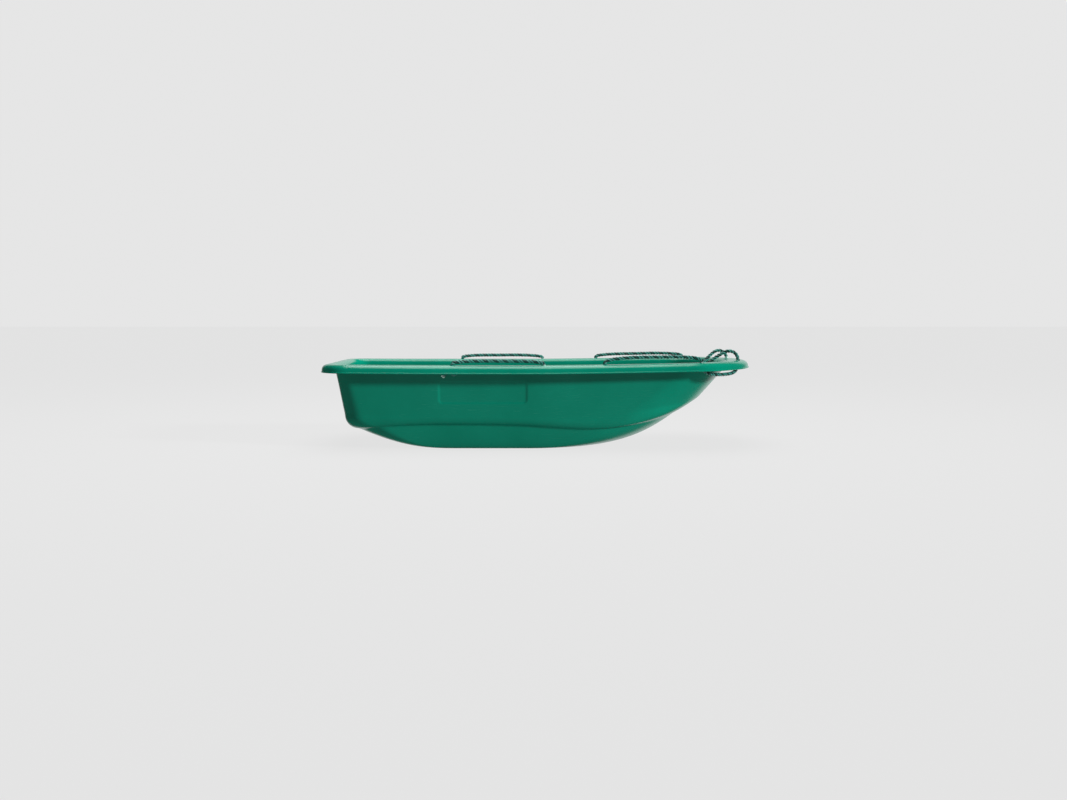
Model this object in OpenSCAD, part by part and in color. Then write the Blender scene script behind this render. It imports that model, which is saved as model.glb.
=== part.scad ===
// Moulded plastic boat sled: a thin tub with a rolled rim, and one rope laced through ten holes in that rim.
// The rope makes a tow loop over the bow and two handles on each side. Each end has a stopper knot.
// X runs forward to the bow, Y to port, Z up. The origin is on the ground under the middle of the sled.

/* [Hull] */
// Length over the rim
hull_length = 1120; // [1000:10:1240]
// Beam over the rim
hull_beam = 520; // [460:10:580]
// Height of the rim's top at mid length
rim_height = 219; // [200:1:240]
// Thickness of the moulding
wall = 4; // [3.5:0.5:5]
// Depth of the recessed panel in each side
panel_depth = 1.5; // [1:0.1:1.8]

/* [Rope] */
// Diameter of the rope
rope_d = 9.5; // [8:0.5:10]
// Diameter of the holes in the rim
hole_d = 12; // [11:0.5:14]
// Height of the rear handles above the rim, to the middle of the rope
rear_handle_rise = 11; // [10:0.5:20]
// Height of the front right handle above the rim, to the middle of the rope
front_right_handle_rise = 17; // [12:0.5:26]
// Height of the front left handle, which is pulled down further
front_left_handle_rise = 12; // [11:0.5:26]

/* [Hidden] */

hull_green = "#006b52";
rope_green = "#0b3b31";
right = -1; // starboard, at -Y
left = 1;   // port, at +Y

// Scales that carry every station, half width and level from the driving dimensions
kx = hull_length / 1120;
ky = hull_beam / 520;
kz = rim_height / 219;

// Segments of half an outline: transom, stern corner, side and bow
n_transom = 2;
n_corner = 6;
n_side = 8;
n_bow = 12;
n_half = n_transom + n_corner + n_side + n_bow;
n_ring = 2 * n_half;

// Plan outlines: [aft end, forward end, half width, stern corner radius, length of the bow's curve]
floor_line = [-279 * kx, 90 * kx, 150 * ky, 70, 140 * kx];
crease_line = [-475 * kx, 363 * kx, 186 * ky, 78, 200 * kx];
ledge_line = [-506 * kx, 428 * kx, 203 * ky, 52, 205 * kx];
wall_line = [-524 * kx, 498 * kx, 222 * ky, 40, 135 * kx];
rim_line = [-560 * kx, 560 * kx, 260 * ky, 72, 165 * kx];

// Levels along the sled, as [station, height]
crease_level = [[-476, 50], [-380, 60], [-250, 65], [-60, 63], [120, 53], [235, 64], [363, 86]];
ledge_level = [[-506, 89], [-380, 88], [-250, 90], [-60, 88], [110, 80], [235, 97], [428, 126]];

// The rim's section as [share of the rim's width outward, height from the rim's top]
rim_drop = 21;
rim_top = [
    [1, -21], [1, -16.5], [0.985, -12.5], [0.95, -8.5], [0.88, -5], [0.78, -2.4], [0.65, -0.8],
    [0.5, 0], [0.3, 0], [0.15, -0.6], [0.05, -2], [-0.04, -5], [-0.09, -10]
];
rim_under = [
    [0, -13], [0.05, -7.5], [0.2, -4.3], [0.45, -4.3], [0.66, -5.2], [0.8, -8], [0.89, -13], [0.93, -21]
];

side_share = 0.45;  // where the handle holes stand across the rim's width
tow_share = 0.62;   // and the tow holes, on the wider bow
tow_angle = 64;     // the tow holes' place on the bow's curve, 0 at the side and 90 at the tip
rear_handle_x = [-221 * kx, 10 * kx];
front_handle_x = [164 * kx, 410 * kx];
pivot_height = 3;   // a handle's ends swing about this height above the rim's top
run_depth = 13;     // the rope runs this far under the rim's top between the handles
run_bend = 5.3;     // and turns into the holes with this radius
bow_run_depth = 33; // and under the bow

floor_grooves = [-84 * ky, -42 * ky, 42 * ky, 84 * ky];
groove_x = [-240 * kx, 40 * kx];
groove_r = 14;
groove_axis = -12.5; // height of the groove's axis, so that it cuts 1.5 mm into the floor
rope_sides = 10;

function mix(a, b, t) = a + (b - a) * t;
function unit(v) = v / norm(v);

// A smooth curve through points [x, y]
function curve_slope(p, i) =
    let (a = p[max(i - 1, 0)], b = p[min(i + 1, len(p) - 1)]) (b.y - a.y) / (b.x - a.x);
function curve_span(p, x, i = 0) = i >= len(p) - 2 || x < p[i + 1].x ? i : curve_span(p, x, i + 1);
function curve_at(p, x0) =
    let (
        x = min(max(x0, p[0].x), p[len(p) - 1].x),
        i = curve_span(p, x), w = p[i + 1].x - p[i].x, t = (x - p[i].x) / w
    )
    (2 * t ^ 3 - 3 * t ^ 2 + 1) * p[i].y + (t ^ 3 - 2 * t ^ 2 + t) * w * curve_slope(p, i)
    + (3 * t ^ 2 - 2 * t ^ 3) * p[i + 1].y + (t ^ 3 - t ^ 2) * w * curve_slope(p, i + 1);

// The sheer: the rim's top is nearly level aft of the middle and rises towards the bow
function rim_z(x) =
    let (s = abs(x) / (560 * kx)) rim_height + (x < 0 ? 1.7 * s ^ 4 : 9.2 * s ^ 1.3);
// The sides are a little fuller amidships than at the ends
function fullness(x) = 1 - 0.08 * ((x / kx + 40) / 560) ^ 2;

// Half an outline on the port side, from the middle of the stern (k = 0) to the bow's tip (k = n_half)
function half_outline(o, k) =
    let (side_0 = n_transom + n_corner, bow_0 = side_0 + n_side)
    k <= n_transom ? [o[0], (o[2] - o[3]) * k / n_transom]
    : k <= side_0 ? let (a = 90 * (k - n_transom) / n_corner)
        [o[0] + o[3] * (1 - cos(a)), o[2] - o[3] * (1 - sin(a))]
    : k <= bow_0 ? [mix(o[0] + o[3], o[1] - o[4], (k - side_0) / n_side), o[2]]
    : let (a = 90 * (k - bow_0) / n_bow) [o[1] - o[4] * (1 - sin(a)), o[2] * cos(a)];

function outline(o, i) =
    let (port = i <= n_half, p = half_outline(o, port ? i : n_ring - i))
    [p.x, (port ? 1 : -1) * p.y * fullness(p.x)];

// How far around the stern (1 at the transom, 0 from the side on) and around the bow a point stands
function half_index(i) = i <= n_half ? i : n_ring - i;
function sternness(i) =
    let (k = half_index(i)) k <= n_transom ? 1 : cos(90 * min(1, (k - n_transom) / n_corner)) ^ 2;
function bowness(i) =
    let (k = half_index(i) - (n_half - n_bow)) k <= 0 ? 0 : sin(90 * k / n_bow) ^ 2;

// Outer surface from the floor's edge up to the rim's lower edge, one function for each band
function pan_point(i, u) =
    let (a = outline(floor_line, i), b = outline(crease_line, i), p = mix(2.5, 1.8, sternness(i)))
    [mix(a.x, b.x, u), mix(a.y, b.y, u), kz * curve_at(crease_level, b.x / kx) * u ^ p];
function ledge_point(i, t) =
    let (
        a = outline(crease_line, i), b = outline(ledge_line, i), w = bowness(i),
        f = mix(sin(90 * t), t, w), h = mix(1 - cos(90 * t), t, w)
    )
    [
        mix(a.x, b.x, f), mix(a.y, b.y, f),
        kz * mix(curve_at(crease_level, a.x / kx), curve_at(ledge_level, b.x / kx), h)
    ];
function wall_point(i, t) =
    let (a = outline(ledge_line, i), b = outline(wall_line, i))
    [
        mix(a.x, b.x, t), mix(a.y, b.y, t),
        mix(kz * curve_at(ledge_level, a.x / kx), rim_z(b.x) - rim_drop, t)
    ];
function rim_point(i, f, h) =
    let (p = mix(outline(wall_line, i), outline(rim_line, i), f)) [p.x, p.y, rim_z(p.x) + h];

pan_steps = [0, 0.2, 0.4, 0.6, 0.78, 0.9, 1];
ledge_steps = [0.3, 0.6, 1];
wall_steps = [0.5, 1];
n_outer = len(pan_steps) + len(ledge_steps) + len(wall_steps);
outer_rings = [
    for (u = pan_steps) [for (i = [0 : n_ring - 1]) pan_point(i, u)],
    for (t = ledge_steps) [for (i = [0 : n_ring - 1]) ledge_point(i, t)],
    for (t = wall_steps) [for (i = [0 : n_ring - 1]) wall_point(i, t)]
];

// The inner surface stands one wall thickness inside the outer one
function across(j, i) =
    j == 0 ? [0, 0, -1]
    : let (
        r = outer_rings,
        along = r[j][(i + 1) % n_ring] - r[j][(i + n_ring - 1) % n_ring],
        up = r[min(j + 1, n_outer - 1)][i] - r[j - 1][i]
    )
    -unit(cross(along, up));
inner_rings = [
    for (j = [0 : n_outer - 1]) [for (i = [0 : n_ring - 1]) outer_rings[j][i] - wall * across(j, i)]
];

// A closed skin over rings of points, with a flat face at each end. The faces' first corner is the
// one half way round, at the bow, where no three neighbouring points stand in a straight line.
module skin(rings) {
    n = len(rings[0]);
    m = len(rings);
    polyhedron(
        points = [for (r = rings) each r],
        faces = [
            [for (i = [0 : n - 1]) (i + n / 2) % n],
            [for (i = [n : -1 : 1]) (m - 1) * n + (i + n / 2) % n],
            for (j = [0 : m - 2], i = [0 : n - 1])
                let (a = j * n + i, b = j * n + (i + 1) % n) each [[a, a + n, b], [b, a + n, b + n]]
        ],
        convexity = 10
    );
}

module tub() {
    skin([
        each outer_rings,
        for (p = rim_under) [for (i = [0 : n_ring - 1]) rim_point(i, p[0], p[1])],
        for (p = rim_top) [for (i = [0 : n_ring - 1]) rim_point(i, p[0], p[1])],
        for (j = [n_outer - 1 : -1 : 0]) inner_rings[j]
    ]);
}

// Places on the middle of the rim: at a station along the side, and at an angle round the bow
function side_place(x, side) =
    let (
        bow_start = mix(wall_line[1] - wall_line[4], rim_line[1] - rim_line[4], side_share),
        bow_length = mix(wall_line[4], rim_line[4], side_share),
        a = asin(min(1, max(0, (x - bow_start) / bow_length)))
    )
    [x, side * mix(wall_line[2], rim_line[2], side_share) * cos(a) * fullness(x), rim_z(x)];
function bow_place(a, share, side) =
    let (
        x = mix(wall_line[1] - wall_line[4] * (1 - sin(a)), rim_line[1] - rim_line[4] * (1 - sin(a)), share),
        y = mix(wall_line[2], rim_line[2], share) * cos(a)
    )
    [x, side * y * fullness(x), rim_z(x)];
front_angle = asin(
    (front_handle_x[1] - mix(wall_line[1] - wall_line[4], rim_line[1] - rim_line[4], side_share))
    / mix(wall_line[4], rim_line[4], side_share)
);

function rope_holes(side) = [
    for (x = [each rear_handle_x, each front_handle_x]) side_place(x, side),
    bow_place(tow_angle, tow_share, side)
];

module groove(y) {
    translate([groove_x[0], y, groove_axis])
        rotate([0, 90, 0]) cylinder(h = groove_x[1] - groove_x[0], r = groove_r, $fn = 48);
}

// A flat panel with round corners, let into each side wall at the wall's own slope
module panel_recess(side) {
    size = [225 * kx, 57 * kz];
    corner = 9;
    middle = [-145 * kx, 149 * kz];
    wall_slope = atan2(wall_line[2] - ledge_line[2], rim_height - rim_drop - 88 * kz);
    y = mix(
        ledge_line[2] * fullness(middle.x), wall_line[2] * fullness(middle.x),
        (middle.y - 88 * kz) / (rim_height - rim_drop - 88 * kz)
    );
    translate([middle.x, side * y, middle.y])
        rotate([90 - side * wall_slope, 0, side * 0.76])
            translate([0, 0, side > 0 ? -20 : -panel_depth])
                linear_extrude(20 + panel_depth) {
                    square([size.x - 2 * corner, size.y], center = true);
                    square([size.x, size.y - 2 * corner], center = true);
                    for (x = [-1, 1], z = [-1, 1])
                        translate([x * (size.x / 2 - corner), z * (size.y / 2 - corner)])
                            circle(corner, $fn = 48);
                }
}

module hull() {
    color(hull_green) difference() {
        tub();
        for (y = floor_grooves) groove(y);
        for (side = [right, left]) {
            panel_recess(side);
            for (p = rope_holes(side)) translate(p - [0, 0, 12]) cylinder(h = 16, d = hole_d, $fn = 48);
        }
    }
}

// A tube swept along points, which starts across the direction `first`; `ends` are the radii at its two ends
function sweep_tangent(p, i) = unit(p[min(i + 1, len(p) - 1)] - p[max(i - 1, 0)]);
function square_to(v, t) = unit(v - (v * t) * t);
function sweep_sides(p, first) = [
    for (i = 0, n = square_to(first, sweep_tangent(p, 0)); i < len(p);
         i = i + 1, n = square_to(n, sweep_tangent(p, min(i, len(p) - 1)))) n
];
function sweep_ring(c, t, u, r) = let (v = cross(t, u)) [
    for (a = [0 : 360 / rope_sides : 359]) c + r * (cos(a) * u - sin(a) * v)
];
module rope(p, first, round_ends = false) {
    sides = sweep_sides(p, first);
    r = rope_d / 2;
    last = len(p) - 1;
    dome = round_ends ? [20, 45, 68] : [];
    dome_back = round_ends ? [68, 45, 20] : [];
    t0 = sweep_tangent(p, 0);
    t1 = sweep_tangent(p, last);
    skin([
        for (a = dome) sweep_ring(p[0] - r * cos(a) * t0, t0, sides[0], r * sin(a)),
        for (i = [0 : last]) sweep_ring(p[i], sweep_tangent(p, i), sides[i], r),
        for (a = dome_back) sweep_ring(p[last] + r * cos(a) * t1, t1, sides[last], r * sin(a))
    ]);
}

// A share of a stretch's rise: it leaves each hole upright and runs level in between
function arch(t) = (1 - abs(2 * t - 1) ^ 2.8) ^ (1 / 2.8);
arch_steps = [for (a = [0 : 7.5 : 180]) (1 - cos(a)) / 2];
ends_at = rope_d / 2 + 0.4; // a fixed stretch stops this far under a handle's pivot

function handle_ends(x, side) = [for (v = x) side_place(v, side) + [0, 0, pivot_height]];
module handle(x, rise, side) {
    e = handle_ends(x, side);
    rise_at = rise - pivot_height;
    color(rope_green)
        rope([for (t = arch_steps) mix(e[0], e[1], t) + [0, 0, rise_at * arch(t)]], [0, 1, 0], true);
}

// Straight down out of a handle's hole, round a tight bend, level under the rim and up the next hole
function run_line(a, b, top) =
    let (along = unit([b.x - a.x, b.y - a.y, 0]), low = -run_depth)
    [
        a + [0, 0, top],
        for (t = [0 : 15 : 90]) a + [0, 0, low + run_bend * (1 - sin(t))] + along * run_bend * (1 - cos(t)),
        for (s = [0.15 : 0.1 : 0.86]) mix(a, b, s) + [0, 0, low - 0.8 * sin(180 * s)],
        for (t = [90 : -15 : 0]) b + [0, 0, low + run_bend * (1 - sin(t))] - along * run_bend * (1 - cos(t)),
        b + [0, 0, top]
    ];
module side_run(side) {
    ends = [side_place(rear_handle_x[1], side), side_place(front_handle_x[0], side)];
    color(rope_green) rope(run_line(ends[0], ends[1], pivot_height - ends_at), [0, 1, 0]);
}

// From the front handle's forward hole, under the rim and round the bow, up to the tow hole
module bow_run(side) {
    function place(t) =
        bow_place(mix(front_angle, tow_angle, t), mix(side_share, tow_share, t), side);
    color(rope_green)
        rope([
            for (t = arch_steps)
                let (top = mix(pivot_height - ends_at, -0.4, t))
                    place(t) + [0, 0, top - (bow_run_depth + top) * arch(t)]
        ], [0, 1, 0]);
}

// The rope's end: down through the rearmost hole, into a knot of two turns under the rim, and a short tail
knot_turns = [-15, -22.5]; // heights of the turns, from the rim's top
module stopper_knot(side) {
    p = side_place(rear_handle_x[0], side);
    top = pivot_height - ends_at;
    color(rope_green) {
        translate(p) rotate_extrude($fn = 48) {
            translate([0, -20]) square([rope_d / 2, 20 + top]);
            for (z = knot_turns) translate([rope_d / 2 + 0.1, z]) circle(d = rope_d, $fn = 24);
        }
        translate(p + [0, 0, -21]) rotate([0, -105, 0]) cylinder(h = 25, d = rope_d - 0.6, $fn = 32);
    }
}

// The free rope: up out of a tow hole, over the bow's rim, down the bow and aft along the floor,
// round in a bight and back to the other hole. It stands higher out of the starboard hole.
tow_starboard = [
    [521, -99, 226], [520.5, -99, 233], [517.5, -98.5, 241], [512, -97.5, 247], [504.5, -96.5, 250.5],
    [496, -95.5, 251], [487, -94, 248.5], [468, -92, 237], [449, -90, 223.5], [425, -88, 202],
    [394, -87, 172], [356, -88, 138], [314, -94, 106], [268, -103, 76], [220, -112, 51],
    [170, -117, 33], [114, -114, 17], [52, -100, 10], [-6, -70, 10], [-32, -30, 10]
];
tow_port = [
    [521, 99, 226], [520, 99, 232], [516.5, 98.5, 238.5], [511, 97.5, 243.5], [504, 96.5, 246.5],
    [496, 95, 247], [488, 93, 244.5], [476.5, 90.5, 236], [459, 87.5, 219.5], [436, 85, 197.5],
    [404, 84, 167], [364, 87, 137], [318, 94, 106], [270, 103, 76], [220, 112, 51],
    [170, 117, 33], [114, 114, 17], [52, 100, 10], [-6, 70, 10], [-32, 30, 10]
];
tow_path = [
    for (p = tow_starboard) [p.x * kx, p.y * ky, p.z],
    for (i = [len(tow_port) - 1 : -1 : 0]) [tow_port[i].x * kx, tow_port[i].y * ky, tow_port[i].z]
];
// Points between the chosen ones, on a smooth curve through them
function through(p, i, t) =
    let (a = p[max(i - 1, 0)], b = p[i], c = p[i + 1], d = p[min(i + 2, len(p) - 1)])
    b + t * (c - a) / 2 + t ^ 2 * (2 * a - 5 * b + 4 * c - d) / 2 + t ^ 3 * (3 * b - a - 3 * c + d) / 2;
module tow_rope() {
    color(rope_green)
        rope([
            for (i = [0 : len(tow_path) - 2], t = [0, 0.5]) through(tow_path, i, t),
            tow_path[len(tow_path) - 1]
        ], [0, 1, 0]);
}

hull();
handle(rear_handle_x, rear_handle_rise, right);  // handle_rear_right
handle(rear_handle_x, rear_handle_rise, left);  // handle_rear_left
handle(front_handle_x, front_right_handle_rise, right);  // handle_front_right
handle(front_handle_x, front_left_handle_rise, left);  // handle_front_left
side_run(right);  // side_run_right
side_run(left);  // side_run_left
bow_run(right);  // bow_run_right
bow_run(left);  // bow_run_left
stopper_knot(right);  // stopper_knot_right
stopper_knot(left);  // stopper_knot_left
tow_rope();
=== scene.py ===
"""Looks of a moulded pull sled: a glossy green tub with a rolled rim, and a laced three-strand rope.

Lengths below are in millimetres, as in the solids' source, until a mesh is made: MM turns them into metres.
"""

import math

import bmesh
import bpy
import numpy as np
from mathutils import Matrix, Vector


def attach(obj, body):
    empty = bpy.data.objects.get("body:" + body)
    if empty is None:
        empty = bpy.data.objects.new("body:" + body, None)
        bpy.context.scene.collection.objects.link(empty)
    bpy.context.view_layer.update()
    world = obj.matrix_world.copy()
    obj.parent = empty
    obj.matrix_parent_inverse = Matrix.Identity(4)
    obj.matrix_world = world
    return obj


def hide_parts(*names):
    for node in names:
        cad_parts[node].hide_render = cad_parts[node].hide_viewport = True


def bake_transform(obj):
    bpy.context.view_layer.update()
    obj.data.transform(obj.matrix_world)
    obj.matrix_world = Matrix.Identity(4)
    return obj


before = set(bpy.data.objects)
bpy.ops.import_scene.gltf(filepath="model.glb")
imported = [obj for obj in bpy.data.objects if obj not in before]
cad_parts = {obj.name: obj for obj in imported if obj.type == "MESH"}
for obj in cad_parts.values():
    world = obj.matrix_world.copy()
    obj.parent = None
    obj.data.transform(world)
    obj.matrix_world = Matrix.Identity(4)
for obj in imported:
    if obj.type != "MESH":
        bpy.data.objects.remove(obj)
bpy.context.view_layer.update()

MM = 0.001
ROOT = "sled"
scene = bpy.context.scene


# ---------------------------------------------------------------- camera

CAMERA_AT = (-0.016, -3.440, 0.350)
CAMERA_DOWN = 3.9   # degrees below level
FOCAL_LENGTH = 42.9


def make_camera():
    data = bpy.data.cameras.new("camera")
    data.lens = FOCAL_LENGTH
    data.sensor_width = 36.0
    data.clip_start = 0.05
    data.clip_end = 80.0
    cam = bpy.data.objects.new("camera", data)
    cam.location = CAMERA_AT
    cam.rotation_euler = (math.radians(90 - CAMERA_DOWN), 0, 0)
    scene.collection.objects.link(cam)
    scene.camera = cam


make_camera()


# ---------------------------------------------------------------- small geometry helpers

def mix(a, b, t):
    return a + (b - a) * t


def smoothstep(lo, hi, v):
    t = np.clip((v - lo) / (hi - lo), 0, 1)
    return t * t * (3 - 2 * t)


def unit(v):
    return v / np.maximum(np.linalg.norm(v, axis=-1, keepdims=True), 1e-12)


def hermite(table, x):
    """A smooth curve through the table's points, as the solids' source draws it."""
    p = np.array(table, float)
    x = np.clip(x, p[0, 0], p[-1, 0])
    i = np.clip(np.searchsorted(p[:, 0], x, side="right") - 1, 0, len(p) - 2)
    lo, hi = np.maximum(np.arange(len(p)) - 1, 0), np.minimum(np.arange(len(p)) + 1, len(p) - 1)
    slope = (p[hi, 1] - p[lo, 1]) / (p[hi, 0] - p[lo, 0])
    w = p[i + 1, 0] - p[i, 0]
    t = (x - p[i, 0]) / w
    return ((2 * t**3 - 3 * t**2 + 1) * p[i, 1] + (t**3 - 2 * t**2 + t) * w * slope[i]
            + (3 * t**2 - 2 * t**3) * p[i + 1, 1] + (t**3 - t**2) * w * slope[i + 1])


def through(points, step):
    """A smooth line through points, cut into even steps of about that length."""
    p = np.array(points, float)
    ext = np.vstack([2 * p[0] - p[1], p, 2 * p[-1] - p[-2]])
    fine = []
    for i in range(1, len(ext) - 2):
        a, b, c, d = ext[i - 1], ext[i], ext[i + 1], ext[i + 2]
        t = np.linspace(0, 1, 24, endpoint=False)[:, None]
        fine.append(b + t * (c - a) / 2 + t**2 * (2 * a - 5 * b + 4 * c - d) / 2
                    + t**3 * (3 * b - a - 3 * c + d) / 2)
    return even(np.vstack(fine + [p[-1:]]), step)


def even(line, step):
    s = np.concatenate([[0], np.cumsum(np.linalg.norm(np.diff(line, axis=0), axis=1))])
    n = max(2, int(round(s[-1] / step)) + 1)
    at = np.linspace(0, s[-1], n)
    return np.stack([np.interp(at, s, line[:, i]) for i in range(3)], axis=1)


def make_mesh(name, verts_mm, faces):
    mesh = bpy.data.meshes.new(name)
    mesh.from_pydata((np.asarray(verts_mm) * MM).tolist(), [], faces)
    mesh.update()
    obj = bpy.data.objects.new(name, mesh)
    scene.collection.objects.link(obj)
    return obj


def smooth(obj, degrees=50):
    mesh = obj.data
    mesh.shade_smooth()
    mesh.set_sharp_from_angle(angle=math.radians(degrees))


# ---------------------------------------------------------------- the hull's form, as in the solids' source

FLOOR_LINE = (-279, 90, 150, 70, 140)
CREASE_LINE = (-475, 363, 186, 78, 200)
LEDGE_LINE = (-506, 428, 203, 52, 205)
WALL_LINE = (-524, 498, 222, 40, 135)
RIM_LINE = (-560, 560, 260, 72, 165)
CREASE_LEVEL = [(-476, 50), (-380, 60), (-250, 65), (-60, 63), (120, 53), (235, 64), (363, 86)]
LEDGE_LEVEL = [(-506, 89), (-380, 88), (-250, 90), (-60, 88), (110, 80), (235, 97), (428, 126)]
RIM_HEIGHT, RIM_DROP, WALL = 219, 21, 4
RIM_WIDTH = float(RIM_LINE[2] - WALL_LINE[2])
K_TRANSOM, K_CORNER, K_SIDE, K_BOW = 2, 6, 8, 12
K_SIDE_0 = K_TRANSOM + K_CORNER
K_BOW_0 = K_SIDE_0 + K_SIDE
K_END = K_BOW_0 + K_BOW


def rim_z(x):
    """The sheer: nearly level aft of the middle, and rising towards the bow."""
    s = np.abs(x) / 560
    return RIM_HEIGHT + np.where(x < 0, 1.7 * s**4, 9.2 * s**1.3)


def fullness(x):
    """The sides are a little fuller amidships than at the ends."""
    return 1 - 0.08 * ((x + 40) / 560) ** 2


def outline(o, k):
    """Half a plan outline on the port side, from mid stern (k = 0) to the tip of the bow (K_END)."""
    xa, xf, b, rc, bl = o
    corner = np.pi / 2 * np.clip((k - K_TRANSOM) / K_CORNER, 0, 1)
    bow = np.pi / 2 * np.clip((k - K_BOW_0) / K_BOW, 0, 1)
    along = np.clip((k - K_SIDE_0) / K_SIDE, 0, 1)
    x = np.where(k <= K_SIDE_0, xa + rc * (1 - np.cos(corner)),
                 np.where(k <= K_BOW_0, mix(xa + rc, xf - bl, along), xf - bl * (1 - np.sin(bow))))
    y = np.where(k <= K_TRANSOM, (b - rc) * k / K_TRANSOM,
                 np.where(k <= K_BOW_0, b - rc * (1 - np.sin(corner)), b * np.cos(bow)))
    return x, y * fullness(x)


def columns():
    """Where the surface is sampled round half an outline: closest along the recessed panel."""
    return np.concatenate([
        np.linspace(0, K_TRANSOM, 7)[:-1],
        np.linspace(K_TRANSOM, K_SIDE_0, 19)[:-1],
        np.linspace(K_SIDE_0, K_SIDE_0 + 1.9, 18)[:-1],
        np.linspace(K_SIDE_0 + 1.9, K_SIDE_0 + 5.1, 112)[:-1],
        np.linspace(K_SIDE_0 + 5.1, K_BOW_0, 28)[:-1],
        np.linspace(K_BOW_0, K_END, 47),
    ])


K = columns()
STERN = np.where(K <= K_TRANSOM, 1.0, np.cos(np.pi / 2 * np.clip((K - K_TRANSOM) / K_CORNER, 0, 1)) ** 2)
BOW = np.sin(np.pi / 2 * np.clip((K - K_BOW_0) / K_BOW, 0, 1)) ** 2


def pan(u):
    """The bottom, from the flat floor (u = 0) up to the crease (u = 1)."""
    ax, ay = outline(FLOOR_LINE, K)
    bx, by = outline(CREASE_LINE, K)
    return np.stack([mix(ax, bx, u), mix(ay, by, u),
                     hermite(CREASE_LEVEL, bx) * u ** mix(2.5, 1.8, STERN)], axis=1)


def ledge(t):
    """The step outward from the crease to the foot of the side wall."""
    ax, ay = outline(CREASE_LINE, K)
    bx, by = outline(LEDGE_LINE, K)
    f = mix(math.sin(math.pi / 2 * t), t, BOW)
    h = mix(1 - math.cos(math.pi / 2 * t), t, BOW)
    return np.stack([mix(ax, bx, f), mix(ay, by, f),
                     mix(hermite(CREASE_LEVEL, ax), hermite(LEDGE_LEVEL, bx), h)], axis=1)


def side_wall(t):
    """The side wall, from its foot up to the rim."""
    ax, ay = outline(LEDGE_LINE, K)
    bx, by = outline(WALL_LINE, K)
    return np.stack([mix(ax, bx, t), mix(ay, by, t),
                     mix(hermite(LEDGE_LEVEL, ax), rim_z(bx) - RIM_DROP, t)], axis=1)


def rim(f, h):
    """The rim at a share of its width outward and a height from its top."""
    ax, ay = outline(WALL_LINE, K)
    bx, by = outline(RIM_LINE, K)
    x = mix(ax, bx, f)
    return np.stack([x, mix(ay, by, f), rim_z(x) + h], axis=1)


def bend(a, c, b, n):
    """Points of a soft corner from a to b, drawn towards c."""
    return [(1 - t) ** 2 * a + 2 * t * (1 - t) * c + t * t * b for t in np.linspace(0, 1, n + 2)[1:-1]]


def outer_levels():
    crease_a, crease_b = 0.955, 0.16
    wall_a, wall_b = 0.86, 0.06
    rows = [pan(u) for u in [0, .03, .07, .13, .2, .28, .36, .45, .54, .63, .71, .79, .86, .91, crease_a]]
    rows += bend(pan(crease_a), pan(1.0), ledge(crease_b), 5)
    rows += [ledge(t) for t in [crease_b, .24, .33, .42, .51, .6, .69, .78, wall_a]]
    rows += bend(ledge(wall_a), ledge(1.0), side_wall(wall_b), 4)
    rows += [side_wall(t) for t in [wall_b, .12, .18] + list(np.arange(.23, .93, .0225)) + [.96]]
    return rows


def rounded(profile, step):
    """A smooth section through (share of the rim's width, height) points."""
    pts = [(f * RIM_WIDTH, h, 0.0) for f, h in profile]
    line = through(pts, step)
    return [(p[0] / RIM_WIDTH, p[1]) for p in line]


# The rim's section in three stretches, as (share of the rim's width outward, height from the rim's top)
UNDERSIDE = [(0, -21), (0.005, -16.5), (0.02, -12.5), (0.06, -8.2), (0.13, -5.6), (0.22, -4.5), (0.35, -4.3),
             (0.5, -4.4), (0.64, -5.1), (0.76, -7.2), (0.85, -11), (0.9, -16), (0.925, -19.3)]
BEAD = [(0.925, -19.3), (0.935, -21.0), (0.975, -21.9), (1.02, -21.5), (1.035, -20.2), (1.02, -19.0),
        (1.0, -17.8), (0.995, -15.5)]
TOPSIDE = [(0.995, -15.5), (0.985, -12.5), (0.95, -8.5), (0.88, -5), (0.78, -2.4), (0.65, -0.8), (0.5, -0.05),
           (0.4, 0.05), (0.28, 0), (0.15, -0.6), (0.05, -2), (-0.03, -5.2), (-0.075, -9), (-0.095, -14),
           (-0.102, -19)]

PANEL_X, PANEL_Z, PANEL_CORNER, PANEL_DEPTH = (-257.5, -32.5), (120.5, 177.5), 9, 1.6
PANEL_LEAN = (0.985, 0.17)   # square to the sloping wall: shares of the depth inward and upward


def panel_depth(x, z):
    """How deep the moulded panel is let in at a point of a side wall."""
    hx, hz = (PANEL_X[1] - PANEL_X[0]) / 2, (PANEL_Z[1] - PANEL_Z[0]) / 2
    dx = np.abs(x - (PANEL_X[0] + PANEL_X[1]) / 2) - hx + PANEL_CORNER
    dz = np.abs(z - (PANEL_Z[0] + PANEL_Z[1]) / 2) - hz + PANEL_CORNER
    gap = (np.hypot(np.maximum(dx, 0), np.maximum(dz, 0)) + np.minimum(np.maximum(dx, dz), 0) - PANEL_CORNER)
    return PANEL_DEPTH * (1 - smoothstep(-2.6, 1.0, gap))


def ripple(p):
    """The slight unevenness of a large moulding, in millimetres."""
    x, y, z = p[..., 0], p[..., 1], p[..., 2]
    return (0.16 * np.sin(x / 41.0 + 0.7) * np.sin(z / 33.0 + y / 90.0 + 0.3)
            + 0.12 * np.sin(x / 23.0 + z / 27.0 + 1.9) + 0.08 * np.sin(x / 67.0 - z / 19.0 + y / 57.0))


def whole_ring(rows):
    """Half outlines to closed rings: port from the stern to the bow, then starboard back."""
    rows = np.array(rows)
    other = rows[:, -2:0:-1].copy()
    other[..., 1] *= -1
    return np.concatenate([rows, other], axis=1)


def grid_normals(rings):
    along = np.roll(rings, -1, axis=1) - np.roll(rings, 1, axis=1)
    up = np.empty_like(rings)
    up[1:-1] = rings[2:] - rings[:-2]
    up[0] = rings[1] - rings[0]
    up[-1] = rings[-1] - rings[-2]
    return unit(-np.cross(along, up))


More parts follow.
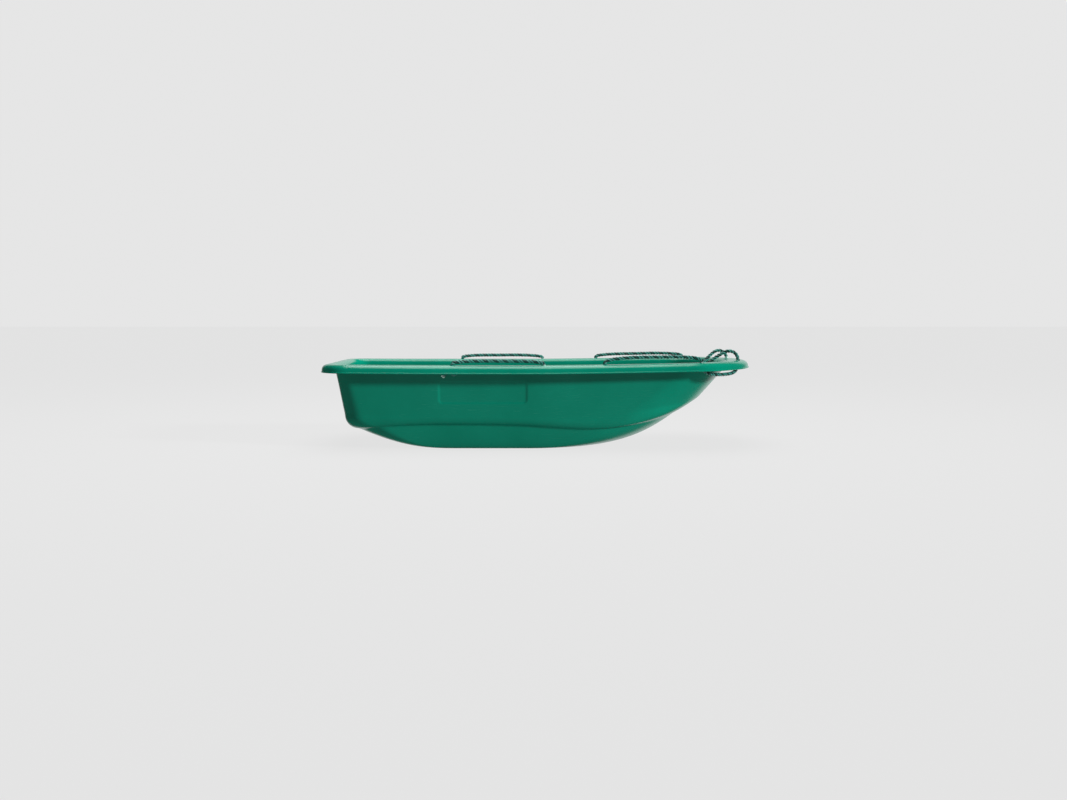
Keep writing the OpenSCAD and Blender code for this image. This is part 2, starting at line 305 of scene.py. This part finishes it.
def hull_mesh():
    outer = whole_ring(outer_levels())
    inward = np.sign(outer[..., 1])
    on_wall = (outer[..., 2] > 100) & (np.abs(outer[..., 1]) > 185)
    depth = np.where(on_wall, panel_depth(outer[..., 0], outer[..., 2]), 0)
    outer[..., 1] -= inward * depth * PANEL_LEAN[0]
    outer[..., 2] += depth * PANEL_LEAN[1]
    normals = grid_normals(outer)
    normals[0] = (0, 0, -1)
    height = outer[..., 2]
    fade = smoothstep(2, 25, height) * (1 - smoothstep(170, 192, height))
    outer += normals * (ripple(outer) * fade)[..., None]
    inner = outer - WALL * normals
    inner[0, :, 2] = WALL
    under = whole_ring([rim(f, h) for f, h in rounded(UNDERSIDE, 1.7)])
    bead = whole_ring([rim(f, h) for f, h in rounded(BEAD, 0.75)])[1:]
    top = whole_ring([rim(f, h) for f, h in rounded(TOPSIDE, 1.5)])[1:]
    rings = np.concatenate([outer, under, bead, top, inner[::-1]])
    m, n = rings.shape[:2]
    faces = [list(range(n)), [(m - 1) * n + i for i in range(n - 1, -1, -1)]]
    for j in range(m - 1):
        a, b = j * n, (j + 1) * n
        faces += [(a + i, b + i, b + (i + 1) % n, a + (i + 1) % n) for i in range(n)]
    return make_mesh("hull_shell", rings.reshape(-1, 3), faces)


# ---------------------------------------------------------------- places of the rope's holes

SIDE_SHARE, TOW_SHARE, TOW_ANGLE = 0.45, 0.62, 64
REAR_X, FRONT_X = (-221, 10), (164, 410)
REAR_RISE, PIVOT = 11, 3.0
FRONT_RISE = {"right": 17, "left": 12}
ROPE_D, HOLE_R = 9.5, 6.0
RUN_DEPTH, RUN_BEND, RUN_SAG, BOW_RUN_DEPTH = 13, 5.3, 0.8, 33
RUN_TOP = PIVOT - ROPE_D / 2 - 0.4   # where the rope under the rim ends, in a handle's hole
BOW_RUN_TOP = -0.4                   # and in the tow hole
ARCH_POWER = 2.8                     # how square-shouldered a handle stands


def bow_arc(share):
    start = mix(WALL_LINE[1] - WALL_LINE[4], RIM_LINE[1] - RIM_LINE[4], share)
    return start, mix(WALL_LINE[4], RIM_LINE[4], share)


def side_place(x, side):
    start, length = bow_arc(SIDE_SHARE)
    a = math.asin(min(1, max(0, (x - start) / length)))
    y = mix(WALL_LINE[2], RIM_LINE[2], SIDE_SHARE) * math.cos(a) * float(fullness(x))
    return np.array([x, side * y, float(rim_z(np.float64(x)))])


def bow_place(degrees, share, side):
    a = math.radians(degrees)
    start, length = bow_arc(share)
    x = start + length * math.sin(a)
    y = mix(WALL_LINE[2], RIM_LINE[2], share) * math.cos(a) * float(fullness(x))
    return np.array([x, side * y, float(rim_z(np.float64(x)))])


FRONT_ANGLE = math.degrees(math.asin((FRONT_X[1] - bow_arc(SIDE_SHARE)[0]) / bow_arc(SIDE_SHARE)[1]))
HOLES = [side_place(x, s) for s in (-1, 1) for x in REAR_X + FRONT_X]
HOLES += [bow_place(TOW_ANGLE, TOW_SHARE, s) for s in (-1, 1)]


def lathe(name, profile, centre, sides):
    """A closed turned form: profile is (radius, height) points from one end to the other."""
    verts, faces = [], []
    for r, h in profile:
        for i in range(sides):
            a = 2 * math.pi * i / sides
            verts.append(np.array([r * math.cos(a), r * math.sin(a), h]) + centre)
    for j in range(len(profile) - 1):
        for i in range(sides):
            a, b = j * sides, (j + 1) * sides
            faces.append((a + i, a + (i + 1) % sides, b + (i + 1) % sides, b + i))
    faces.append(list(range(sides - 1, -1, -1)))
    faces.append([(len(profile) - 1) * sides + i for i in range(sides)])
    return make_mesh(name, verts, faces)


def outward(obj):
    bm = bmesh.new()
    bm.from_mesh(obj.data)
    bmesh.ops.recalc_face_normals(bm, faces=bm.faces)
    bm.to_mesh(obj.data)
    bm.free()


def join(objs, name):
    verts, faces = [], []
    for o in objs:
        base = len(verts)
        verts += [v.co[:] for v in o.data.vertices]
        faces += [[base + i for i in p.vertices] for p in o.data.polygons]
        bpy.data.objects.remove(o)
    mesh = bpy.data.meshes.new(name)
    mesh.from_pydata(verts, [], faces)
    obj = bpy.data.objects.new(name, mesh)
    scene.collection.objects.link(obj)
    return obj


def cut(target, tools):
    outward(tools)
    mod = target.modifiers.new("cut", "BOOLEAN")
    mod.operation = "DIFFERENCE"
    mod.solver = "EXACT"
    mod.object = tools
    done = bpy.data.meshes.new_from_object(target.evaluated_get(bpy.context.evaluated_depsgraph_get()))
    target.modifiers.clear()
    target.data = done
    bpy.data.objects.remove(tools)


# The shallow grooves in the bottom: lines across the sled, ends along it, radius and depth
GROOVE_Y, GROOVE_X, GROOVE_R, GROOVE_DEPTH = (-84, -42, 42, 84), (-240, 40), 14.0, 1.5
GROOVE_HALF = math.sqrt(GROOVE_R**2 - (GROOVE_R - GROOVE_DEPTH) ** 2)
GROOVE_END = GROOVE_HALF * 1.2   # length of a groove's rounded end


def groove_rows(y):
    """Lines of points across one groove, from its aft end to its forward end."""
    (x0, x1), half = GROOVE_X, GROOVE_HALF
    stations = [x0 - GROOVE_END + i * 2.0 for i in range(8)] + [x0 + 8, 0.5 * (x0 + x1), x1 - 8]
    stations += [x1 + GROOVE_END - i * 2.0 for i in range(7, -1, -1)]
    across = np.linspace(-half - 0.8, half + 0.8, 15)
    rows = []
    for x in stations:
        out = max(0.0, x0 + 6 - x, x - x1 + 6)
        sink = GROOVE_DEPTH * (1 - min(1.0, out / (GROOVE_END + 6.0)) ** 2)
        rows.append([(x, y + c, sink * (1 - (c / half) ** 2) if abs(c) < half else -0.4) for c in across])
    return rows


def groove_cutter(y):
    """A closed lens whose top is the groove's surface and whose flat foot is under the bottom."""
    rows = groove_rows(y)
    n = len(rows[0])
    verts = [v for row in rows for v in row] + [(v[0], v[1], -3.0) for row in rows for v in row]
    off = len(rows) * n
    faces = []
    for j in range(len(rows) - 1):
        for i in range(n - 1):
            a, b = j * n + i, (j + 1) * n + i
            faces.append((a, b, b + 1, a + 1))
            faces.append((off + a, off + a + 1, off + b + 1, off + b))
        for i in (0, n - 1):
            a, b = j * n + i, (j + 1) * n + i
            faces.append((a, off + a, off + b, b) if i == 0 else (a, b, off + b, off + a))
    for j in (0, len(rows) - 1):
        for i in range(n - 1):
            a = j * n + i
            faces.append((a, a + 1, off + a + 1, off + a) if j == 0 else (a, off + a, off + a + 1, a + 1))
    return make_mesh("tool", verts, faces)


def hull_cutters():
    """The rope's holes, with softened lips, and the grooves."""
    flare = [(HOLE_R + 1.5, 1.6), (HOLE_R + 1.1, 0.1), (HOLE_R + 0.35, -0.55), (HOLE_R, -1.3),
             (HOLE_R, -3.3), (HOLE_R + 0.4, -4.1), (HOLE_R + 1.2, -4.7), (HOLE_R + 1.5, -6.6)]
    tools = [lathe("tool", flare, p, sides=36) for p in HOLES]
    tools += [groove_cutter(y) for y in GROOVE_Y]
    return join(tools, "hull_cutters")


# ---------------------------------------------------------------- rope

# A strand's middle and its radius, as shares of the rope's radius, and the length of one turn
STRAND_AT, STRAND_R, PITCH = 0.515, 0.485, 25.0
SEAM = STRAND_AT / 2 + math.sqrt(STRAND_R**2 - 0.75 * STRAND_AT**2)  # out to where strands meet
EDGE = math.degrees(math.atan2(SEAM * math.sin(math.pi / 3), SEAM * math.cos(math.pi / 3) - STRAND_AT))
ARC = 14           # steps over one strand's crown
YARNS = 7          # yarns that show on a strand's crown
YARN_LEAN = 0.198  # how far they turn round the strand in each millimetre
ROPE_STEP = 1.25   # between rings
CAP = 0.9          # how far each end's middle stands out


def rope_frames(line, first):
    """The line's tangents, and sides that turn as little as they can."""
    t = np.empty_like(line)
    t[1:-1] = line[2:] - line[:-2]
    t[0], t[-1] = line[1] - line[0], line[-1] - line[-2]
    t = unit(t)
    side = np.array(first, float)
    sides = []
    for d in t:
        side = side - d * (side @ d)
        side = side / np.linalg.norm(side)
        sides.append(side.copy())
    return t, np.array(sides)


def rope_mesh(name, line, phase=0.0, swell=None):
    """A laid rope along a line: three strands round each other in one closed skin. Each corner of a face
    carries where it is on its strand: angle round the strand, length along it, and which strand."""
    line = even(np.array(line, float), ROPE_STEP)
    t, u = rope_frames(line, (0, 1, 0))
    v = np.cross(t, u)
    s = np.concatenate([[0], np.cumsum(np.linalg.norm(np.diff(line, axis=0), axis=1))])
    alpha = np.radians(np.linspace(-EDGE, EDGE, ARC + 1))
    verts = []
    n = 3 * ARC
    for i, c in enumerate(line):
        turn = 2 * math.pi * (s[i] / PITCH) + phase
        r = ROPE_D / 2 * (1.0 if swell is None else swell(s[i], s[-1]))
        r *= 1 + 0.012 * math.sin(s[i] / 5.3 + phase * 3) + 0.01 * math.sin(s[i] / 13.7 + 1.3)
        for k in range(3):
            centre = turn + 2 * math.pi * k / 3
            yarn = 1 + 0.028 * np.cos(YARNS * (alpha[:-1] + YARN_LEAN * s[i]))
            px = STRAND_AT + STRAND_R * yarn * np.cos(alpha[:-1])
            py = STRAND_R * yarn * np.sin(alpha[:-1])
            x = px * math.cos(centre) - py * math.sin(centre)
            y = px * math.sin(centre) + py * math.cos(centre)
            verts.append(c + r * (x[:, None] * u[i] + y[:, None] * v[i]))
    verts = np.vstack(verts)
    faces, info = [], []
    for j in range(len(line) - 1):
        for i in range(n):
            i1 = (i + 1) % n
            a, b = j * n, (j + 1) * n
            faces.append((a + i, a + i1, b + i1, b + i))
            k, q = divmod(i, ARC)
            a0, a1 = alpha[q], alpha[q + 1]
            info += [(a0, s[j], k), (a1, s[j], k), (a1, s[j + 1], k), (a0, s[j + 1], k)]
    m = len(line)
    verts = np.vstack([verts, line[0] - t[0] * CAP, line[-1] + t[-1] * CAP])
    for i in range(n):
        i1 = (i + 1) % n
        faces.append((m * n, i1, i))
        faces.append((m * n + 1, (m - 1) * n + i, (m - 1) * n + i1))
        k = i // ARC
        info += [(0.0, s[0] - 3, k)] * 3 + [(0.0, s[-1] + 3, k)] * 3
    obj = make_mesh(name, verts, faces)
    layer = obj.data.attributes.new("rope_lay", "FLOAT_VECTOR", "CORNER")
    layer.data.foreach_set("vector", np.array(info, np.float32).ravel())
    end = obj.data.attributes.new("rope_end", "FLOAT", "POINT")
    # how far the rope turns lighter over its last few millimetres, up to its cut end
    lighter_towards_end = np.repeat(np.maximum(smoothstep(s[-1] - 7, s[-1] - 1, s), 0), n)
    end.data.foreach_set("value", np.concatenate([lighter_towards_end, [0, 1]]).astype(np.float32))
    outward(obj)
    smooth(obj, 85)
    return obj


def arch(t):
    """A share of a stretch's rise: upright at each hole and level in between."""
    return (1 - np.abs(2 * t - 1) ** ARCH_POWER) ** (1 / ARCH_POWER)


ARCH_T = (1 - np.cos(np.radians(np.arange(0, 181, 1.5)))) / 2


FOOT_LEVELS = (-6.2, -3.0)   # a handle goes on down into its hole, past the pivot


def handle_line(xs, rise, side):
    """One handle from hole to hole, with the places of its two pivots."""
    a, b = [side_place(x, side) + (0, 0, PIVOT) for x in xs]
    line = mix(a, b, ARCH_T[:, None])
    line[:, 2] += (rise - PIVOT) * arch(ARCH_T)
    # a laid rope never lies quite straight
    wave = np.sin(np.pi * ARCH_T) ** 2
    line[:, 1] += side * 0.7 * wave * np.sin(ARCH_T * 7.0 + xs[0])
    line[:, 2] += 0.35 * wave * np.sin(ARCH_T * 9.0 + side)
    foot = np.array([[0, 0, z] for z in FOOT_LEVELS])
    return np.vstack([a + foot, line, b + foot[::-1]]), a, b


def side_run_line(side):
    """Straight down out of a handle's hole, round a tight bend, level under the rim and up the next hole."""
    a, b = side_place(REAR_X[1], side), side_place(FRONT_X[0], side)
    along = unit((b - a) * (1, 1, 0))
    turn = np.radians(np.arange(0, 91, 7.5))[:, None]
    bend_in = along * RUN_BEND * (1 - np.cos(turn)) + (0, 0, 1) * (RUN_BEND * (1 - np.sin(turn)) - RUN_DEPTH)
    bend_out = bend_in - 2 * along * RUN_BEND * (1 - np.cos(turn))
    t = np.arange(0.15, 0.86, 0.05)[:, None]
    level = mix(a, b, t) + (0, 0, 1) * (-RUN_DEPTH - RUN_SAG * np.sin(np.pi * t))
    end = np.array([[0, 0, RUN_TOP]])
    return np.vstack([a + end, a + bend_in, level, (b + bend_out)[::-1], b + end])


def bow_run_line(side):
    """Under the rim and round the bow, from the front handle's forward hole to the tow hole."""
    line = np.array([bow_place(mix(FRONT_ANGLE, TOW_ANGLE, t), mix(SIDE_SHARE, TOW_SHARE, t), side)
                     for t in ARCH_T])
    top = mix(RUN_TOP, BOW_RUN_TOP, ARCH_T)
    line[:, 2] += top - (BOW_RUN_DEPTH + top) * arch(ARCH_T)
    return line


# The free rope from each tow hole to the middle of its bight, as in the solids' source
TOW_STARBOARD = [
    (521, -99, 226), (520.5, -99, 233), (517.5, -98.5, 241), (512, -97.5, 247), (504.5, -96.5, 250.5),
    (496, -95.5, 251), (487, -94, 248.5), (468, -92, 237), (449, -90, 223.5), (425, -88, 202),
    (394, -87, 172), (356, -88, 138), (314, -94, 106), (268, -103, 76), (220, -112, 51),
    (170, -117, 33), (114, -114, 17), (52, -100, 10), (-6, -70, 10), (-32, -30, 10)]
TOW_PORT = [
    (521, 99, 226), (520, 99, 232), (516.5, 98.5, 238.5), (511, 97.5, 243.5), (504, 96.5, 246.5),
    (496, 95, 247), (488, 93, 244.5), (476.5, 90.5, 236), (459, 87.5, 219.5), (436, 85, 197.5),
    (404, 84, 167), (364, 87, 137), (318, 94, 106), (270, 103, 76), (220, 112, 51),
    (170, 117, 33), (114, 114, 17), (52, 100, 10), (-6, 70, 10), (-32, 30, 10)]


KNOT_R, KNOT_STEP, KNOT_CLIMB = 9.9, 38, 0.66   # the turns' radius, and each point's angle and climb


def knot_line(side):
    """A stopper knot: down through the hole, round at the foot, two turns up round itself, and out aft."""
    o = side_place(REAR_X[0], side)
    pts = [(0, 0, -1.0), (0, 0, -6), (0, 0, -12), (0.2, 0, -17.5), (2.0, -1.0, -22.4), (6.2, -2.6, -23.2),
           (9.6, -1.0, -20.0)]
    for i in range(1, 17):
        a = i * math.radians(KNOT_STEP) - 0.1
        pts.append((KNOT_R * math.cos(a), KNOT_R * math.sin(a), -20.0 + KNOT_CLIMB * i))
    pts += [(-11.5, -5.0, -13.0), (-16.5, -3.4, -19.0), (-20.5, -2.6, -24.5), (-24.0, -2.4, -30.0)]
    return [o + np.array((x, -side * y, z)) for x, y, z in pts]


def frayed(s, total):
    """A cut end opens a little over its last few millimetres."""
    return 0.98 + 0.16 * float(smoothstep(total - 8, total - 1, s))


def make_ropes():
    made = []
    path = through(TOW_STARBOARD + TOW_PORT[::-1], 4.0)
    tow = rope_mesh("tow_rope_laid", path)
    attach(tow, ROOT)
    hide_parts("tow_rope")
    made.append(tow)
    for side, word in ((-1, "right"), (1, "left")):
        for place, xs, rise in (("rear", REAR_X, REAR_RISE), ("front", FRONT_X, FRONT_RISE[word])):
            node = f"handle_{place}_{word}"
            line, a, b = handle_line(xs, rise, side)
            obj = rope_mesh(node + "_laid", line, phase=0.9 * len(made))
            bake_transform(obj)
            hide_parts(node)
            made.append(obj)
        runs = {
            f"side_run_{word}": side_run_line(side),
            f"bow_run_{word}": bow_run_line(side),
            f"stopper_knot_{word}": through(knot_line(side), 1.5),
        }
        for node, line in runs.items():
            swell = frayed if node.startswith("stopper") else None
            obj = rope_mesh(node + "_laid", line, phase=0.7 * len(made), swell=swell)
            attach(obj, ROOT)
            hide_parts(node)
            made.append(obj)
    return made


ropes = make_ropes()
hull = hull_mesh()
outward(hull)
cut(hull, hull_cutters())
smooth(hull, 42)
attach(hull, ROOT)
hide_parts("hull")


# ---------------------------------------------------------------- materials

class Nodes:
    """Short names for building a material's nodes."""

    def __init__(self, name):
        self.mat = bpy.data.materials.new(name)
        self.mat.use_nodes = True
        self.tree = self.mat.node_tree
        self.tree.nodes.clear()
        self.out = self.add("ShaderNodeOutputMaterial")
        self.bsdf = self.add("ShaderNodeBsdfPrincipled")
        self.link(self.bsdf.outputs[0], self.out.inputs[0])

    def add(self, kind, **values):
        node = self.tree.nodes.new(kind)
        for key, value in values.items():
            setattr(node, key, value)
        return node

    def link(self, a, b):
        self.tree.links.new(a, b)

    def feed(self, socket, value):
        if isinstance(value, bpy.types.NodeSocket):
            self.link(value, socket)
        else:
            socket.default_value = value

    def math(self, op, a, b=0.0, c=0.0):
        node = self.add("ShaderNodeMath", operation=op)
        for i, v in enumerate((a, b, c)):
            self.feed(node.inputs[i], v)
        return node.outputs[0]

    def noise(self, vector, scale, detail=2.0, roughness=0.5, distortion=0.0):
        node = self.add("ShaderNodeTexNoise")
        self.link(vector, node.inputs["Vector"])
        node.inputs["Scale"].default_value = scale
        node.inputs["Detail"].default_value = detail
        node.inputs["Roughness"].default_value = roughness
        node.inputs["Distortion"].default_value = distortion
        return node.outputs["Fac"]

    def ramp(self, value, stops):
        node = self.add("ShaderNodeValToRGB")
        self.link(value, node.inputs[0])
        elements = node.color_ramp.elements
        while len(elements) < len(stops):
            elements.new(0.5)
        for e, (at, colour) in zip(elements, stops):
            e.position = at
            e.color = (*colour, 1) if len(colour) == 3 else colour
        return node.outputs[0]

    def range(self, value, lo, hi, to_lo, to_hi):
        node = self.add("ShaderNodeMapRange")
        for i, v in enumerate((value, lo, hi, to_lo, to_hi)):
            self.feed(node.inputs[i], v)
        return node.outputs[0]

    def bump(self, height, strength, distance, normal=None):
        node = self.add("ShaderNodeBump")
        node.inputs["Strength"].default_value = strength
        node.inputs["Distance"].default_value = distance
        self.link(height, node.inputs["Height"])
        if normal is not None:
            self.link(normal, node.inputs["Normal"])
        return node.outputs[0]

    def blend(self, fac, a, b):
        node = self.add("ShaderNodeMix", data_type="RGBA")
        self.feed(node.inputs[0], fac)
        self.feed(node.inputs[6], a)
        self.feed(node.inputs[7], b)
        return node.outputs[2]


def stretched(m, coords, scale):
    node = m.add("ShaderNodeMapping")
    node.inputs["Scale"].default_value = scale
    m.link(coords, node.inputs["Vector"])
    return node.outputs[0]


def hull_material():
    m = Nodes("moulded_green_polyethylene")
    coords = m.add("ShaderNodeTexCoord").outputs["Object"]
    cloud = m.noise(coords, 6.0, 3.0)
    fine = m.noise(coords, 55.0, 3.0)
    streak = m.noise(stretched(m, coords, (3.0, 60.0, 60.0)), 9.0, 4.0, 0.6)
    base = m.ramp(cloud, [(0.3, (0.0, 0.126, 0.078)), (0.7, (0.0, 0.146, 0.092))])
    speck = m.range(fine, 0.3, 0.7, 0.0, 0.12)
    base = m.blend(speck, base, (0.0, 0.11, 0.066, 1))
    scuffs = m.range(streak, 0.66, 0.8, 0.0, 0.04)
    base = m.blend(scuffs, base, (0.10, 0.28, 0.22, 1))
    m.link(base, m.bsdf.inputs["Base Color"])
    rough = m.range(cloud, 0.3, 0.7, 0.20, 0.26)
    rough = m.math("ADD", rough, m.range(streak, 0.55, 0.8, 0.0, 0.10))
    m.link(rough, m.bsdf.inputs["Roughness"])
    m.bsdf.inputs["Specular IOR Level"].default_value = 0.30
    skin = m.bump(m.noise(coords, 420.0, 2.0), 0.05, 0.0004)
    wave = m.bump(m.noise(coords, 16.0, 1.0), 0.25, 0.0010, skin)
    m.link(wave, m.bsdf.inputs["Normal"])
    return m.mat


def rope_material():
    m = Nodes("laid_polypropylene_rope")
    lay = m.add("ShaderNodeAttribute", attribute_name="rope_lay").outputs["Vector"]
    end = m.add("ShaderNodeAttribute", attribute_name="rope_end").outputs["Fac"]
    split = m.add("ShaderNodeSeparateXYZ")
    m.link(lay, split.inputs[0])
    angle, along, strand = split.outputs
    lean = m.math("ADD", angle, m.math("MULTIPLY", along, YARN_LEAN))
    join_xyz = m.add("ShaderNodeCombineXYZ")
    m.link(m.math("MULTIPLY", lean, 2.6), join_xyz.inputs[0])
    m.link(m.math("MULTIPLY", along, 0.045), join_xyz.inputs[1])
    m.link(m.math("MULTIPLY", strand, 9.0), join_xyz.inputs[2])
    fibre = m.noise(join_xyz.outputs[0], 3.2, 3.0, 0.65, 0.4)
    yarn = m.math("COSINE", m.math("MULTIPLY", lean, YARNS))
    dark = m.ramp(fibre, [(0.28, (0.0015, 0.012, 0.010)), (0.55, (0.004, 0.038, 0.030)),
                          (0.78, (0.014, 0.10, 0.078))])
    light = m.ramp(fibre, [(0.25, (0.006, 0.07, 0.056)), (0.5, (0.02, 0.16, 0.13)),
                           (0.78, (0.10, 0.32, 0.27))])
    which = m.math("GREATER_THAN", strand, 1.5)
    colour = m.blend(which, light, dark)
    # painted shade: each strand darkens towards its flanks, in the valleys where the strands meet
    painted_valley_shade = m.range(m.math("ABSOLUTE", angle), 0.9, 2.1, 0.0, 0.75)
    colour = m.blend(painted_valley_shade, colour, (0.001, 0.010, 0.008, 1))
    # lighter over the last few millimetres up to the rope's cut end
    colour = m.blend(m.math("MULTIPLY", end, 0.9), colour, (0.45, 0.68, 0.60, 1))
    m.link(colour, m.bsdf.inputs["Base Color"])
    m.link(m.range(fibre, 0.3, 0.7, 0.34, 0.52), m.bsdf.inputs["Roughness"])
    m.bsdf.inputs["Specular IOR Level"].default_value = 0.5
    m.bsdf.inputs["Sheen Weight"].default_value = 0.15
    m.bsdf.inputs["Sheen Roughness"].default_value = 0.4
    ridge = m.bump(yarn, 0.35, 0.00025)
    m.link(m.bump(fibre, 0.6, 0.0003, ridge), m.bsdf.inputs["Normal"])
    return m.mat


def dress(obj, mat):
    obj.data.materials.clear()
    obj.data.materials.append(mat)


dress(hull, hull_material())
rope_look = rope_material()
for piece in ropes:
    dress(piece, rope_look)


# ---------------------------------------------------------------- floor, backdrop and light

FLOOR_REACH = 30000   # half the floor's side, in millimetres
FLOOR_GLOW = 0.745    # with what the lights add, this matches the backdrop
BACKDROP, SURROUND = 0.79, 0.06
BACKDROP_EDGE = (0.74, 0.88)   # the backdrop fades in over this share of a direction along +Y


def make_floor():
    corners = [(-1, -1), (1, -1), (1, 1), (-1, 1)]
    floor = make_mesh("floor", [(x * FLOOR_REACH, y * FLOOR_REACH, 0) for x, y in corners], [(0, 1, 2, 3)])
    m = Nodes("pale_floor")
    m.bsdf.inputs["Base Color"].default_value = (0.03, 0.03, 0.03, 1)
    m.bsdf.inputs["Roughness"].default_value = 0.9
    m.bsdf.inputs["Specular IOR Level"].default_value = 0.0
    m.bsdf.inputs["Emission Color"].default_value = (1, 1, 1, 1)
    m.bsdf.inputs["Emission Strength"].default_value = FLOOR_GLOW
    floor.data.materials.append(m.mat)
    floor.visible_glossy = False


def make_world():
    """A white backdrop behind the sled and a dark room elsewhere, so the near side keeps its deep green."""
    world = bpy.data.worlds.new("studio")
    scene.world = world
    world.use_nodes = True
    nodes, links = world.node_tree.nodes, world.node_tree.links
    nodes.clear()
    out = nodes.new("ShaderNodeOutputWorld")
    back = nodes.new("ShaderNodeBackground")
    coord = nodes.new("ShaderNodeTexCoord")
    split = nodes.new("ShaderNodeSeparateXYZ")
    ramp = nodes.new("ShaderNodeMapRange")
    ramp.interpolation_type = "SMOOTHSTEP"
    for i, v in enumerate((*BACKDROP_EDGE, SURROUND, BACKDROP), start=1):
        ramp.inputs[i].default_value = v
    back.inputs["Color"].default_value = (1, 1, 1, 1)
    links.new(coord.outputs["Generated"], split.inputs[0])
    links.new(split.outputs[1], ramp.inputs[0])
    links.new(ramp.outputs[0], back.inputs["Strength"])
    links.new(back.outputs[0], out.inputs[0])


def make_sun(azimuth, elevation, strength, spread):
    """A far light. Azimuth is measured from the camera's side round to the right, in degrees."""
    data = bpy.data.lights.new("key", "SUN")
    data.energy = strength
    data.angle = math.radians(spread)
    obj = bpy.data.objects.new("key", data)
    a, e = math.radians(azimuth), math.radians(elevation)
    to_light = np.array([math.sin(a) * math.cos(e), -math.cos(a) * math.cos(e), math.sin(e)])
    obj.rotation_euler = Vector(-to_light).to_track_quat("-Z", "Y").to_euler()
    obj.visible_glossy = False
    scene.collection.objects.link(obj)


def make_softbox(centre, size, radiance):
    """A broad panel overhead, which shines straight down and draws the bright line along the rim."""
    data = bpy.data.lights.new("overhead", "AREA")
    data.shape = "RECTANGLE"
    data.size, data.size_y = size
    data.energy = radiance * math.pi * size[0] * size[1]
    obj = bpy.data.objects.new("overhead", data)
    obj.location = centre
    obj.visible_camera = False
    scene.collection.objects.link(obj)


make_floor()
make_world()
make_sun(azimuth=62, elevation=17, strength=5.8, spread=7)
make_softbox(centre=(-0.12, 0.2, 2.2), size=(1.7, 3.0), radiance=6.5)
scene.view_settings.view_transform = "Standard"
